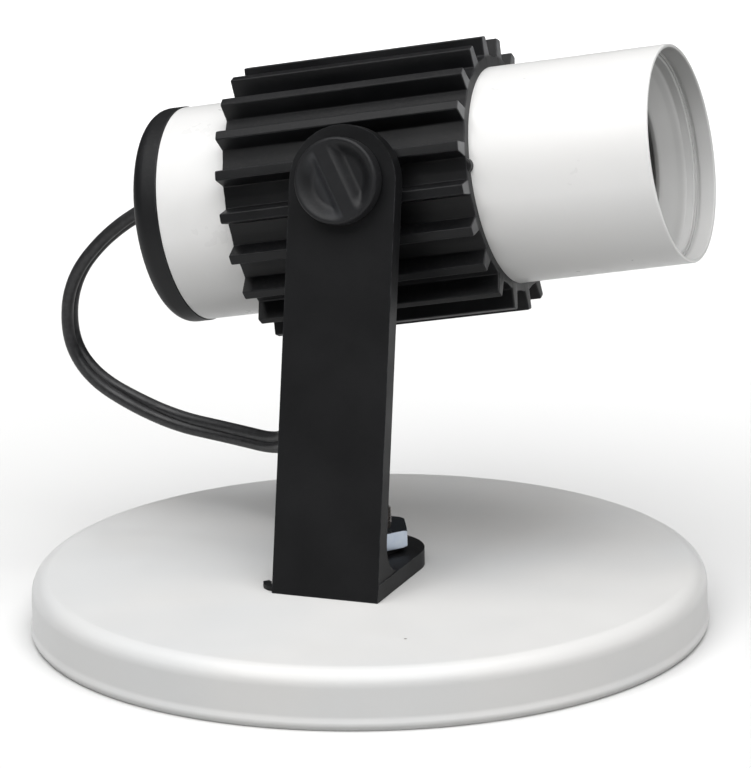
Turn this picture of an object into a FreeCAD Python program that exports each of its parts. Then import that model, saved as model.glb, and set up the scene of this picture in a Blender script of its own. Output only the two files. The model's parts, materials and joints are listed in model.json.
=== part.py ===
"""Spot lamp on a round base: finned head on a single side arm, tilting on a clamp knob.

Frame: origin at the centre of the base's underside, +Z up, +X towards the lamp's mouth,
-Y towards the arm and its knob. Millimetres. One STEP file per sub-part in parts/.
"""
import FreeCAD, Part
import math
import os
from FreeCAD import Placement, Rotation, Vector

os.makedirs("parts", exist_ok=True)

# ---------------------------------------------------------------- driving dimensions
# round base
BASE_R = 94.6
BASE_H = 16.6
BASE_WALL = 1.2
BASE_DRAFT = 0.3
BASE_EDGE_R = 5.0
PLATE_R = 92.4
PLATE_Z = 1.0
PLATE_T = 2.0
POST_PCD = 140.0
POST_R = 3.5
POST_HOLE_R = 1.3
FIXING_SPACING = 80.0
FIXING_R = 2.2
FIXING_PAD_R = 4.8
NIPPLE_ROOM_R = 12.0
PLATE_SCREW_HOLE_R = 1.6
PLATE_SINK_R = 3.2
PLATE_SINK_DEPTH = 1.6
PLATE_SCREW_HEAD_R = 3.0
PLATE_SCREW_NECK_R = 1.45
PLATE_SCREW_SHANK_R = 1.2
PLATE_SCREW_END = 11.5
PAD_INSET = 0.6
PAD_SCREW_R = 4.0
INLET_X = 44.0
INLET_Y = 30.0
INLET_R = 6.0
INLET_PAD_R = 9.0
GROMMET_BORE_R = 3.6
GROMMET_NECK_R = 5.95
GROMMET_LOW_R = 8.0
GROMMET_TOP_R = 7.6
GROMMET_LOW_T = 0.9
GROMMET_TOP_T = 1.2
TERMINAL_X = -40.0
TERMINAL_Y = 34.0
TERMINAL_LENGTH = 26.0
TERMINAL_WIDTH = 18.0
TERMINAL_H = 9.5
TERMINAL_WEB_W = 2.4
TERMINAL_WEB_DEPTH = 3.5
TERMINAL_POLE = 6.0
TERMINAL_ROW = 5.0
TERMINAL_SCREW_R = 2.1
TERMINAL_WELL_R = 2.2
TERMINAL_WIRE_R = 1.7
TERMINAL_WIRE_Z = 5.6

# hollow pivot nipple at the middle of the base, and what is stacked on it
NIPPLE_R = 6.5
NIPPLE_BORE_R = 4.9
NIPPLE_TOP = 33.6
NIPPLE_BOTTOM = 7.9
THREAD_PITCH = 1.0
THREAD_DEPTH = 0.45
THREAD_HALF_W = 0.42
NIPPLE_CHAMFER = 1.2
NUT_BORE_GAP = 0.02
NUT_FLATS = 21.0
NUT_TURN = -5.0
NUT_CHAMFER = 0.45
NUT_T = 5.0
LOWER_NUT_T = 4.5
WASHER_T = 1.6
STIFFENER_R = 15.0
STIFFENER_T = 1.5
FIBRE_R = 9.3

# arm and foot, one moulding
ARM_W = 31.2
ARM_T = 5.2
ARM_FRONT_Y = -33.4
ARM_LEAN_BACK = 14.7
ARM_LEAN_SIDE = 2.0
ARM_H = 114.1
FOOT_T = 4.8
FOOT_FILLET = 8.0
NIB_T = 1.2

# clamp knob
KNOB_R = 12.0
KNOB_T = 5.0
KNOB_RIM = 1.1
KNOB_POCKET = 2.9
KNOB_BAR_W = 4.4
KNOB_BAR_FOOT_W = 7.0
KNOB_BAR_ANGLE = 31.0
KNOB_EDGE_R = 0.9
KNOB_FLOOR_R = 2.2
STUD_R = 3.0
STUD_TIP = 0.6
STUD_CLEARANCE = 0.08
STUD_HEAD_R = 4.95
STUD_HEAD_T = 1.35
ARM_WASHER_R = 8.5
ARM_WASHER_T = 0.8

# lamp head, along its own axis; x = 0 is level with the pivot
HEAD_TILT = 10.4
HEAD_OFFSET = 46.4
TUBE_R = 30.5
TUBE_WALL = 1.2
TUBE_REAR = -62.4
TUBE_FRONT = 20.0
CAP_LENGTH = 8.2
CAP_SKIRT = 6.0
CAP_OVERHANG = 0.3
CAP_EDGE_R = 4.2
CAP_WALL = 2.4
CAP_HOLLOW = 3.2
CAP_SCREW_Y = 19.0
CAP_SCREW_HOLE_R = 1.7
CAP_SCREW_HEAD_R = 2.9
CAP_SCREW_HEAD_T = 1.6
CAP_SCREW_SHANK_R = 1.6
CAP_SCREW_SHANK = 8.0
CAP_VENT_PITCH = 2.6
CAP_VENT_H = 1.6
CAP_VENT_Z = -19.0
CAP_VENT_LENGTH = 16.0
FIN_COUNT = 20
FIN_TIP_R = 38.8
FIN_ROOT_R = 33.5
FIN_TIP_W = 2.8
FIN_ROOT_W = 4.2
FIN_VALLEY = 0.35
SLEEVE_REAR = -40.6
SLEEVE_FRONT = 31.7
SLEEVE_SLANT = 1.4
SLEEVE_RISE = 0.5
LUG_R = 2.2
LUG_Z = 1.3
SHADE_REAR = 21.0
SHADE_FRONT = 83.1
SHADE_WALL = 1.1
BAND_DEPTH = 5.3
INSERT_DEPTH = 8.0
THROAT_R = 21.5
THROAT_DEPTH = 13.7
WELL_R = 25.5
WELL_WALL = 1.2
HOLDER_FACE = 34.5
HOLDER_R = 16.0
HOLDER_T = 15.0
HOLDER_EDGE_R = 1.5
HOLDER_GRIP = 0.1
PIN_SPACING = 10.0
PIN_HOLE_R = 2.4
PIN_HOLE_DEPTH = 7.0
PIN_TRACK_W = 2.8
PIN_TRACK = 4.2
CONTACT_R = 2.2
CONTACT_T = 0.75
WAIST_DEPTH = 2.0
WAIST_FROM = 12.0
WAIST_TO = 9.0
STRAP_W = 14.0
STRAP_T = 1.2
STRAP_TAB = 14.0
STRAP_HOLE_X = 10.0
STRAP_HOLE_R = 1.2
STRAP_SCREW_Z = 9.0
STRAP_SCREW_HEAD_R = 2.4
STRAP_SCREW_HEAD_T = 1.6
STRAP_SCREW_R = 1.25
GLAND_RISE = 3.6
GLAND_OUT = 5.9
GLAND_HOLE_R = 4.6
GLAND_NECK_R = 4.55
GLAND_FLANGE_R = 6.2
GLAND_LATCH_R = 5.6
BOSS_R = 11.0
FRICTION_T = 0.9
CAPTIVE_R = 5.8
CAPTIVE_T = 3.25
CORD_D = 6.2

# centre line of the flat cord, from the rear cap's gland to the inside of the nipple
CORD_POINTS = [
    (-79.9, 37.8, 105.3),
    (-91.2, 36.3, 99.6),
    (-107.0, 35.0, 80.5),
    (-104.5, 34.0, 56.5),
    (-76.3, 32.0, 44.0),
    (-51.5, 28.0, 42.3),
    (-35.8, 21.0, 42.5),
    (-28.0, 13.0, 48.0),
    (-12.0, 5.5, 48.0),
    (0.0, 0.0, 35.5),
    (0.0, 0.0, 14.0),
]

GAP = 0.05
LOOSE = 0.2
FOOT_Z = BASE_H + GAP
FOOT_TOP = FOOT_Z + FOOT_T
X_AXIS = Vector(1, 0, 0)
Y_AXIS = Vector(0, 1, 0)
Z_AXIS = Vector(0, 0, 1)
ORIGIN = Vector(0, 0, 0)

# ---------------------------------------------------------------- frames
LEAN = Rotation(X_AXIS, -ARM_LEAN_BACK)
ARM_FRAME = Placement(Vector(0, ARM_FRONT_Y, FOOT_Z), LEAN)
PIVOT_S = -ARM_H * math.tan(math.radians(ARM_LEAN_SIDE))
PIVOT = ARM_FRAME.multVec(Vector(PIVOT_S, 0, ARM_H))
HEAD_CENTRE = ARM_FRAME.multVec(Vector(PIVOT_S, HEAD_OFFSET, ARM_H))
HEAD_FRAME = Placement(HEAD_CENTRE, LEAN.multiply(Rotation(Y_AXIS, -HEAD_TILT)))


# ---------------------------------------------------------------- helpers
def save(node, shape, frame=None):
    """Write one sub-part, placed by frame when it is given."""
    shape = shape.copy()
    if frame is not None:
        shape.Placement = frame.multiply(shape.Placement)
    if not shape.isValid():
        raise ValueError(node + " is not a valid solid")
    shape.exportStep("parts/" + node + ".step")
    box = shape.BoundBox
    print(f"{node:20s} solids {len(shape.Solids)} volume {shape.Volume:10.1f}"
          f"  x {box.XMin:7.1f} {box.XMax:7.1f}  y {box.YMin:7.1f} {box.YMax:7.1f}"
          f"  z {box.ZMin:6.1f} {box.ZMax:6.1f}")


def rod(r, x0, x1, y=0.0, z=0.0):
    """Cylinder along X."""
    return Part.makeCylinder(r, x1 - x0, Vector(x0, y, z), X_AXIS)


def post(r, z0, z1, x=0.0, y=0.0):
    """Cylinder along Z."""
    return Part.makeCylinder(r, z1 - z0, Vector(x, y, z0), Z_AXIS)


def pin(r, y0, y1, x=0.0, z=0.0):
    """Cylinder along Y."""
    return Part.makeCylinder(r, y1 - y0, Vector(x, y0, z), Y_AXIS)


def hexagon(flats, z0, z1):
    """Hexagonal prism along Z with its corners chamfered as on a nut."""
    corner_r = flats / math.sqrt(3)
    corners = []
    for i in range(7):
        angle = math.radians(60 * i + NUT_TURN)
        corners.append(Vector(corner_r * math.cos(angle), corner_r * math.sin(angle), z0))
    prism = Part.Face(Part.makePolygon(corners)).extrude(Vector(0, 0, z1 - z0))
    drop = NUT_CHAMFER
    face_r = corner_r - drop * 1.5
    low = Part.makeCone(face_r, face_r + drop * 2, drop, Vector(0, 0, z0))
    top = Part.makeCone(face_r + drop * 2, face_r, drop, Vector(0, 0, z1 - drop))
    middle = post(corner_r + 1.0, z0 + drop, z1 - drop)
    return prism.common(low.fuse([middle, top]))


def turned(points, axis=X_AXIS):
    """Solid of revolution about an axis from (along, radius) corner points."""
    if axis is X_AXIS:
        corners = [Vector(a, r, 0) for a, r in points]
    else:
        corners = [Vector(r, 0, a) for a, r in points]
    wire = Part.makePolygon(corners + [corners[0]])
    return Part.Face(wire).revolve(ORIGIN, axis, 360)


def edges_at(shape, test):
    """Edges whose middle point passes the test."""
    found = []
    for edge in shape.Edges:
        middle = edge.valueAt((edge.FirstParameter + edge.LastParameter) / 2)
        if test(middle, edge):
            found.append(edge)
    return found


def is_ring(edge, radius, tolerance=0.02):
    """True for a full or part circle of that radius."""
    curve = edge.Curve
    return hasattr(curve, "Radius") and abs(curve.Radius - radius) < tolerance


# ---------------------------------------------------------------- base
def rounded_disc(r_low, r_top, height, edge_r):
    """Drafted disc with a rounded top edge."""
    shoulder = Vector(r_top, 0, height - edge_r)
    centre = Vector(r_top - edge_r, 0, height - edge_r)
    bend = centre + Vector(edge_r * math.cos(math.pi / 4), 0, edge_r * math.sin(math.pi / 4))
    crown = Vector(r_top - edge_r, 0, height)
    edges = [
        Part.LineSegment(ORIGIN, Vector(r_low, 0, 0)).toShape(),
        Part.LineSegment(Vector(r_low, 0, 0), shoulder).toShape(),
        Part.Arc(shoulder, bend, crown).toShape(),
        Part.LineSegment(crown, Vector(0, 0, height)).toShape(),
        Part.LineSegment(Vector(0, 0, height), ORIGIN).toShape(),
    ]
    return Part.Face(Part.Wire(edges)).revolve(ORIGIN, Z_AXIS, 360)


def base_cover():
    """Pressed metal cover: shell open underneath, holed for the nipple."""
    outside = rounded_disc(BASE_R, BASE_R - BASE_DRAFT, BASE_H, BASE_EDGE_R)
    inside = rounded_disc(BASE_R - BASE_WALL, BASE_R - BASE_DRAFT - BASE_WALL,
                          BASE_H - BASE_WALL, BASE_EDGE_R - BASE_WALL)
    shell = outside.cut(inside)
    return shell.cut(post(NIPPLE_R + LOOSE, 0, BASE_H + 1))


def post_places():
    """Centres of the three posts that hold the plate."""
    places = []
    for i in range(3):
        angle = math.radians(90 + 120 * i)
        places.append((POST_PCD / 2 * math.cos(angle), POST_PCD / 2 * math.sin(angle)))
    return places


def mounting_plate():
    """Steel ballast plate that closes the base, with wall fixings and a cable inlet."""
    plate = post(PLATE_R, PLATE_Z, PLATE_Z + PLATE_T)
    above = PLATE_Z + PLATE_T + 1
    cuts = [post(NIPPLE_ROOM_R, 0, above)]
    for x in (-FIXING_SPACING / 2, FIXING_SPACING / 2):
        cuts.append(post(FIXING_R, 0, above, x, 0))
    for x, y in post_places():
        cuts.append(post(PLATE_SCREW_HOLE_R, 0, above, x, y))
        cuts.append(Part.makeCone(PLATE_SINK_R, PLATE_SCREW_HOLE_R, PLATE_SINK_DEPTH,
                                  Vector(x, y, PLATE_Z)))
    cuts.append(post(INLET_R, 0, above, INLET_X, INLET_Y))
    return plate.cut(cuts)


def plate_posts():
    """Three threaded posts welded under the cover."""
    posts = []
    for x, y in post_places():
        body = post(POST_R, PLATE_Z + PLATE_T, BASE_H - BASE_WALL, x, y)
        posts.append(body.cut(post(POST_HOLE_R, 0, PLATE_SCREW_END + 0.5, x, y)))
    return Part.makeCompound(posts)


def plate_screws():
    """Countersunk screws through the plate into the posts."""
    screws = []
    for x, y in post_places():
        head = Part.makeCone(PLATE_SCREW_HEAD_R, PLATE_SCREW_NECK_R, PLATE_SINK_DEPTH - GAP,
                             Vector(x, y, PLATE_Z + GAP))
        shank = post(PLATE_SCREW_SHANK_R, PLATE_Z + 1.2, PLATE_SCREW_END, x, y)
        screw = head.fuse(shank)
        slot = Part.makeBox(5.0, 0.8, 0.5, Vector(x - 2.5, y - 0.4, PLATE_Z))
        screws.append(screw.cut(slot))
    return Part.makeCompound(screws)


def base_pad():
    """Rubber sheet under the plate, cut out round the fixings and the inlet."""
    pad = post(PLATE_R - PAD_INSET, 0, PLATE_Z)
    cuts = [post(INLET_PAD_R, -1, 2, INLET_X, INLET_Y)]
    for x in (-FIXING_SPACING / 2, FIXING_SPACING / 2):
        cuts.append(post(FIXING_PAD_R, -1, 2, x, 0))
    for x, y in post_places():
        cuts.append(post(PAD_SCREW_R, -1, 2, x, y))
    return pad.cut(cuts)


def inlet_grommet():
    """Rubber grommet in the plate's cable inlet."""
    low = PLATE_Z - GROMMET_LOW_T
    plate_top = PLATE_Z + PLATE_T
    top = plate_top + GROMMET_TOP_T
    outline = [(low, GROMMET_BORE_R), (low, GROMMET_LOW_R - 0.6), (PLATE_Z, GROMMET_LOW_R),
               (PLATE_Z, GROMMET_NECK_R), (plate_top, GROMMET_NECK_R), (plate_top, GROMMET_TOP_R),
               (top, GROMMET_TOP_R - 0.8), (top, GROMMET_BORE_R)]
    ring = turned(outline, Z_AXIS)
    ring.translate(Vector(INLET_X, INLET_Y, 0))
    return ring


def terminal_places():
    """The four clamp screws of the terminal block."""
    places = []
    for dx in (-TERMINAL_POLE, TERMINAL_POLE):
        for dy in (-TERMINAL_ROW, TERMINAL_ROW):
            places.append((TERMINAL_X + dx, TERMINAL_Y + dy))
    return places


def terminal_block():
    """Two-way terminal block on the plate."""
    floor = PLATE_Z + PLATE_T
    top = floor + TERMINAL_H
    low_y = TERMINAL_Y - TERMINAL_WIDTH / 2
    block = Part.makeBox(TERMINAL_LENGTH, TERMINAL_WIDTH, TERMINAL_H,
                         Vector(TERMINAL_X - TERMINAL_LENGTH / 2, low_y, floor))
    web = Part.makeBox(TERMINAL_WEB_W, TERMINAL_WIDTH + 2, TERMINAL_WEB_DEPTH + 1,
                       Vector(TERMINAL_X - TERMINAL_WEB_W / 2, low_y - 1, top - TERMINAL_WEB_DEPTH))
    block = block.cut(web)
    cuts = []
    for x, y in terminal_places():
        cuts.append(post(TERMINAL_WELL_R, 7.0, top + 1, x, y))
    for x in (TERMINAL_X - TERMINAL_POLE, TERMINAL_X + TERMINAL_POLE):
        cuts.append(pin(TERMINAL_WIRE_R, low_y - 5, low_y + TERMINAL_WIDTH + 5, x, TERMINAL_WIRE_Z))
    return block.cut(cuts)


def terminal_screws():
    """Slotted brass clamp screws."""
    screws = []
    for x, y in terminal_places():
        screw = post(TERMINAL_SCREW_R, 7.4, 11.0, x, y)
        slot = Part.makeBox(5.0, 0.7, 0.9, Vector(x - 2.5, y - 0.35, 10.3))
        screws.append(screw.cut(slot))
    return Part.makeCompound(screws)


def nipple():
    """Hollow threaded nipple that holds the foot and lets the cord into the base."""
    body = post(NIPPLE_R, NIPPLE_BOTTOM, NIPPLE_TOP)
    shoulder = NIPPLE_TOP - NIPPLE_CHAMFER
    half = NIPPLE_CHAMFER / 2
    top = Part.makeCone(NIPPLE_R + half, NIPPLE_R - half, NIPPLE_CHAMFER, Vector(0, 0, shoulder))
    body = body.common(post(NIPPLE_R + 1, NIPPLE_BOTTOM, shoulder).fuse(top))
    root = NIPPLE_R - THREAD_DEPTH
    grooves = []
    lowest = FOOT_TOP + WASHER_T + NUT_T + 0.6
    count = int((shoulder - 0.1 - lowest) / THREAD_PITCH) + 1
    for i in range(count):
        z = lowest + i * THREAD_PITCH
        groove = turned([(z - THREAD_HALF_W, NIPPLE_R + 0.1), (z, root),
                         (z + THREAD_HALF_W, NIPPLE_R + 0.1)], Z_AXIS)
        grooves.append(groove)
    return body.cut(grooves + [post(NIPPLE_BORE_R, 0, NIPPLE_TOP + 1)])


def washer(r_out, r_in, z0, z1):
    """Flat washer about Z."""
    return post(r_out, z0, z1).cut(post(r_in, z0 - 1, z1 + 1))


def stiffener_washer():
    """Steel washer under the cover."""
    top = BASE_H - BASE_WALL
    return washer(STIFFENER_R, NIPPLE_R + 0.15, top - STIFFENER_T, top)


def lower_nut():
    """Hexagon nut under the stiffener washer."""
    top = BASE_H - BASE_WALL - STIFFENER_T
    nut = hexagon(NUT_FLATS, top - LOWER_NUT_T, top)
    return nut.cut(post(NIPPLE_R + NUT_BORE_GAP, 0, NIPPLE_TOP))


def fibre_washer():
    """Black fibre washer that the foot turns under."""
    return washer(FIBRE_R, NIPPLE_R + 0.1, FOOT_TOP + GAP, FOOT_TOP + WASHER_T)


def lock_nut():
    """Zinc-plated hexagon nut on top of the foot."""
    low = FOOT_TOP + WASHER_T
    nut = hexagon(NUT_FLATS, low, low + NUT_T)
    return nut.cut(post(NIPPLE_R + NUT_BORE_GAP, 0, NIPPLE_TOP))


# ---------------------------------------------------------------- bracket
def arm_outline():
    """Face of the arm in its own plane: a slanted strip with a round top."""
    half = ARM_W / 2
    side = math.radians(ARM_LEAN_SIDE)
    shift = Vector(-math.sin(side), 0, math.cos(side))
    across = Vector(math.cos(side), 0, math.sin(side))
    centre = Vector(PIVOT_S, 0, ARM_H)
    left_top = centre - across * half
    right_top = centre + across * half
    crown = centre + shift * half
    reach = half / math.cos(side)
    sink = 6.0
    left_low = Vector(-reach + sink * math.tan(side), 0, -sink)
    right_low = Vector(reach + sink * math.tan(side), 0, -sink)
    edges = [
        Part.LineSegment(left_low, left_top).toShape(),
        Part.Arc(left_top, crown, right_top).toShape(),
        Part.LineSegment(right_top, right_low).toShape(),
        Part.LineSegment(right_low, left_low).toShape(),
    ]
    return Part.Face(Part.Wire(edges))


def arm_bracket():
    """Arm and foot in one moulding, with a fillet in the inner corner."""
    arm = arm_outline().extrude(Vector(0, ARM_T, 0))
    arm.Placement = ARM_FRAME
    half = ARM_W / 2 / math.cos(math.radians(ARM_LEAN_SIDE))
    foot = Part.makeBox(2 * half, -ARM_FRONT_Y, FOOT_T, Vector(-half, ARM_FRONT_Y, FOOT_Z))
    foot = foot.fuse(post(half, FOOT_Z, FOOT_TOP))
    below = Part.makeBox(80, 120, 20, Vector(-40, -60, FOOT_Z - 20))
    body = arm.fuse(foot).cut(below)
    # the foot stops at the arm's outer face
    front = Part.makeBox(80, 30, 40, Vector(-40, -30, -5))
    front.Placement = ARM_FRAME.multiply(front.Placement)
    body = body.cut(front).removeSplitter()
    inner_y = ARM_FRONT_Y + ARM_T / math.cos(math.radians(ARM_LEAN_BACK))
    inner_y += FOOT_T * math.tan(math.radians(ARM_LEAN_BACK))
    corner = edges_at(body, lambda p, e: abs(p.z - FOOT_TOP) < 0.05
                      and abs(p.y - inner_y) < 0.6 and abs(p.x) < 2 and e.Length > 20)
    body = body.makeFillet(FOOT_FILLET, corner)
    pivot_hole = pin(STUD_R + STUD_CLEARANCE, -5, ARM_T + 5, PIVOT_S, ARM_H)
    pivot_hole.Placement = ARM_FRAME
    body = body.cut([pivot_hole, post(NIPPLE_R + STUD_CLEARANCE, 0, NIPPLE_TOP)])
    return body.fuse(index_nib())


def index_nib():
    """Small hooked nib at the foot's outer corner that marks the pan angle."""
    z = FOOT_Z
    outer = [Vector(-15.0, -32.2, z), Vector(-17.6, -31.4, z), Vector(-19.4, -30.0, z),
             Vector(-20.6, -27.4, z), Vector(-19.4, -26.0, z), Vector(-18.2, -27.0, z),
             Vector(-17.8, -28.8, z), Vector(-15.0, -30.0, z)]
    face = Part.Face(Part.makePolygon(outer + [outer[0]]))
    return face.extrude(Vector(0, 0, NIB_T))


def arm_washer():
    """Thin steel washer between the knob and the arm, in the arm's frame."""
    ring = pin(ARM_WASHER_R, -ARM_WASHER_T, 0, PIVOT_S, ARM_H)
    hole = pin(STUD_R + STUD_CLEARANCE, -5, 5, PIVOT_S, ARM_H)
    return ring.cut(hole)


# ---------------------------------------------------------------- knob, in its own frame
KNOB_FRAME = ARM_FRAME.multiply(Placement(Vector(PIVOT_S, -ARM_WASHER_T - GAP, ARM_H),
                                          Rotation(Y_AXIS, -KNOB_BAR_ANGLE)))


def clamp_knob():
    """Round knob: a grip bar left standing between two scooped D-shaped pockets."""
    knob = pin(KNOB_R, -KNOB_T, 0)
    front_rim = edges_at(knob, lambda p, e: is_ring(e, KNOB_R) and p.y < -KNOB_T + 0.01)
    knob = knob.makeFillet(KNOB_EDGE_R, front_rim)
    pocket = pin(KNOB_R - KNOB_RIM, -KNOB_T - 0.5, -KNOB_T + KNOB_POCKET)
    bottom_ring = edges_at(pocket, lambda p, e: is_ring(e, KNOB_R - KNOB_RIM) and p.y > -KNOB_T)
    pocket = pocket.makeFillet(KNOB_FLOOR_R, bottom_ring)
    half_top = KNOB_BAR_W / 2
    half_foot = KNOB_BAR_FOOT_W / 2
    top_y = -KNOB_T - 0.6
    floor_y = -KNOB_T + KNOB_POCKET + 0.1
    corners = [Vector(-half_top, top_y, -20), Vector(half_top, top_y, -20),
               Vector(half_foot, floor_y, -20), Vector(-half_foot, floor_y, -20)]
    bar = Part.Face(Part.makePolygon(corners + [corners[0]])).extrude(Vector(0, 0, 40))
    knob = knob.cut(pocket.cut(bar))
    recess = hexagon_pin(STUD_HEAD_R + GAP, -STUD_HEAD_T - GAP, 0.1)
    return knob.cut(recess)


def hexagon_pin(corner_r, y0, y1):
    """Hexagonal prism along Y."""
    corners = []
    for i in range(7):
        angle = math.radians(60 * i)
        corners.append(Vector(corner_r * math.cos(angle), y0, corner_r * math.sin(angle)))
    return Part.Face(Part.makePolygon(corners)).extrude(Vector(0, y1 - y0, 0))


STUD_END = HEAD_OFFSET - FIN_ROOT_R + 5.0


def knob_stud():
    """Hexagon-headed stud held in the knob, through the arm into the captive nut."""
    head = hexagon_pin(STUD_HEAD_R, -STUD_HEAD_T, 0.0)
    shank = pin(STUD_R, -1.0, STUD_END)
    tip = edges_at(shank, lambda p, e: is_ring(e, STUD_R) and p.y > STUD_END - 0.01)
    return head.fuse(shank.makeChamfer(STUD_TIP, tip))


# ---------------------------------------------------------------- lamp head, in its own frame
SLANT = math.tan(math.radians(SLEEVE_SLANT))


def fin_profile():
    """Cross-section of the finned sleeve's outside, valleys facing the arm."""
    step = 360.0 / FIN_COUNT
    root_half = math.degrees(math.asin(FIN_ROOT_W / 2 / FIN_ROOT_R))
    tip_half = math.degrees(math.asin(FIN_TIP_W / 2 / FIN_TIP_R))

    def at(radius, angle):
        # angle from -Y towards +Z, on a plane cut slightly out of square
        a = math.radians(angle)
        z = radius * math.sin(a)
        return Vector(SLEEVE_REAR - z * SLANT, -radius * math.cos(a), z + SLEEVE_RISE)

    edges = []
    for i in range(FIN_COUNT):
        mid = (i + 0.5) * step
        root_a = at(FIN_ROOT_R, mid - root_half)
        tip_a = at(FIN_TIP_R, mid - tip_half)
        tip_b = at(FIN_TIP_R, mid + tip_half)
        root_b = at(FIN_ROOT_R, mid + root_half)
        next_root = at(FIN_ROOT_R, mid + step - root_half)
        valley = at(FIN_ROOT_R - FIN_VALLEY, mid + step / 2)
        edges.append(Part.LineSegment(root_a, tip_a).toShape())
        edges.append(Part.Arc(tip_a, at(FIN_TIP_R, mid), tip_b).toShape())
        edges.append(Part.LineSegment(tip_b, root_b).toShape())
        edges.append(Part.Arc(root_b, valley, next_root).toShape())
    return Part.Wire(Part.__sortEdges__(edges))


def fin_sleeve():
    """Black finned sleeve that holds the tubes, with the pivot boss on the arm's side."""
    sleeve = Part.Face(fin_profile()).extrude(Vector(SLEEVE_FRONT - SLEEVE_REAR, 0, 0))
    boss_end = -(HEAD_OFFSET - ARM_T - GAP - FRICTION_T)
    boss = pin(BOSS_R, boss_end, -FIN_ROOT_R + 2)
    sleeve = sleeve.fuse([boss] + front_lugs())
    bore = rod(TUBE_R + GAP, SLEEVE_REAR - 5, SLEEVE_FRONT + 5)
    cuts = [bore, pin(STUD_R + STUD_CLEARANCE, boss_end - 1, -TUBE_R + 1)]
    cuts.append(hexagon_pin(CAPTIVE_R + GAP, -TUBE_R - CAPTIVE_T - 0.15, -TUBE_R + 1))
    return sleeve.cut(cuts).removeSplitter()


def front_lugs():
    """Two small round lugs at the sleeve's front edge that mark the shade's position."""
    x = SLEEVE_FRONT - LUG_R + 1.0
    near = pin(LUG_R, -FIN_ROOT_R + 0.6, -TUBE_R + 3, x, LUG_Z)
    far = pin(LUG_R, TUBE_R - 3, FIN_ROOT_R - 0.6, x, -LUG_Z)
    return [near, far]


def captive_nut():
    """Hexagon nut let into the sleeve behind the pivot boss."""
    nut = hexagon_pin(CAPTIVE_R, -TUBE_R - CAPTIVE_T - 0.1, -TUBE_R - 0.1)
    return nut.cut(pin(STUD_R + STUD_CLEARANCE, -60, 0))


def friction_washer():
    """Washer between the sleeve's boss and the arm."""
    back = -(HEAD_OFFSET - ARM_T - GAP - FRICTION_T)
    ring = pin(BOSS_R - 0.6, back - FRICTION_T, back)
    return ring.cut(pin(STUD_R + STUD_CLEARANCE, -60, 0))


def housing_tube():
    """White tube inside the sleeve, seen behind it."""
    tube = rod(TUBE_R, TUBE_REAR, TUBE_FRONT)
    tube = tube.cut(rod(TUBE_R - TUBE_WALL, TUBE_REAR - 1, TUBE_FRONT + 1))
    stud_room = pin(STUD_R + 0.6, -TUBE_R - 2, -TUBE_R + 4)
    return tube.cut([stud_room] + strap_holes(STRAP_HOLE_R, 4))


def strap_holes(r, depth):
    """Two screw holes, at the tube's top and bottom, for the holder's bracket."""
    low = post(r, -TUBE_R - depth, -TUBE_R + depth, STRAP_HOLE_X)
    high = post(r, TUBE_R - depth, TUBE_R + depth, STRAP_HOLE_X)
    return [low, high]


def rear_cap():
    """Black cap with a rounded rear edge and a skirt inside the tube."""
    back = TUBE_REAR - CAP_LENGTH
    outer = TUBE_R + CAP_OVERHANG
    disc = rod(outer, back, TUBE_REAR)
    rear_edge = edges_at(disc, lambda p, e: is_ring(e, outer) and p.x < back + 0.01)
    disc = disc.makeFillet(CAP_EDGE_R, rear_edge)
    hollow = rod(TUBE_R - CAP_HOLLOW, back + CAP_WALL, TUBE_REAR + 1)
    skirt = rod(TUBE_R - TUBE_WALL - GAP, TUBE_REAR, TUBE_REAR + CAP_SKIRT)
    skirt = skirt.cut(rod(TUBE_R - CAP_HOLLOW, TUBE_REAR - 1, TUBE_REAR + CAP_SKIRT + 1))
    cap = disc.cut(hollow).fuse(skirt)
    cuts = [rod(GLAND_HOLE_R, back - 1, back + 4, 0, GLAND_RISE)]
    for y in (-CAP_SCREW_Y, CAP_SCREW_Y):
        cuts.append(rod(CAP_SCREW_HOLE_R, back - 1, back + 4, y, 0))
    for i in range(-2, 3):
        length = CAP_VENT_LENGTH - 2 * abs(i)
        low_z = CAP_VENT_Z + CAP_VENT_PITCH * i - CAP_VENT_H / 2
        cuts.append(Part.makeBox(5, length, CAP_VENT_H, Vector(back - 1, -length / 2, low_z)))
    return cap.cut(cuts)


def cap_screws():
    """Two small pan-head screws in the rear cap."""
    back = TUBE_REAR - CAP_LENGTH
    screws = []
    for y in (-CAP_SCREW_Y, CAP_SCREW_Y):
        head = rod(CAP_SCREW_HEAD_R, back - CAP_SCREW_HEAD_T, back, y, 0)
        outer = edges_at(head, lambda p, e: is_ring(e, CAP_SCREW_HEAD_R) and p.x < back - 1)
        head = head.makeFillet(0.9, outer)
        shank = rod(CAP_SCREW_SHANK_R, back, back + CAP_SCREW_SHANK, y, 0)
        slot_a = Part.makeBox(0.9, 3.6, 0.8, Vector(back - 1.7, y - 1.8, -0.4))
        slot_b = Part.makeBox(0.9, 0.8, 3.6, Vector(back - 1.7, y - 0.4, -1.8))
        screws.append(head.fuse(shank).cut([slot_a, slot_b]))
    return Part.makeCompound(screws)


def cord_gland():
    """Strain relief in the rear cap, ribbed outside; the cord starts at its outer face."""
    back = TUBE_REAR - CAP_LENGTH
    end = back - GLAND_OUT
    latch_end = back + CAP_WALL + 1.8
    outline = [(end, 0), (end, 4.3), (end + 1.2, 4.6), (end + 1.2, 4.0), (end + 2.2, 4.0),
               (end + 2.2, 4.9), (end + 3.4, 5.1), (end + 3.4, 4.3), (end + 4.2, 4.3),
               (back, GLAND_FLANGE_R), (back, GLAND_NECK_R), (back + CAP_WALL, GLAND_NECK_R),
               (back + CAP_WALL, GLAND_LATCH_R), (latch_end, GLAND_LATCH_R - 0.8), (latch_end, 0)]
    body = turned(outline)
    body.translate(Vector(0, 0, GLAND_RISE))
    return body


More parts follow.
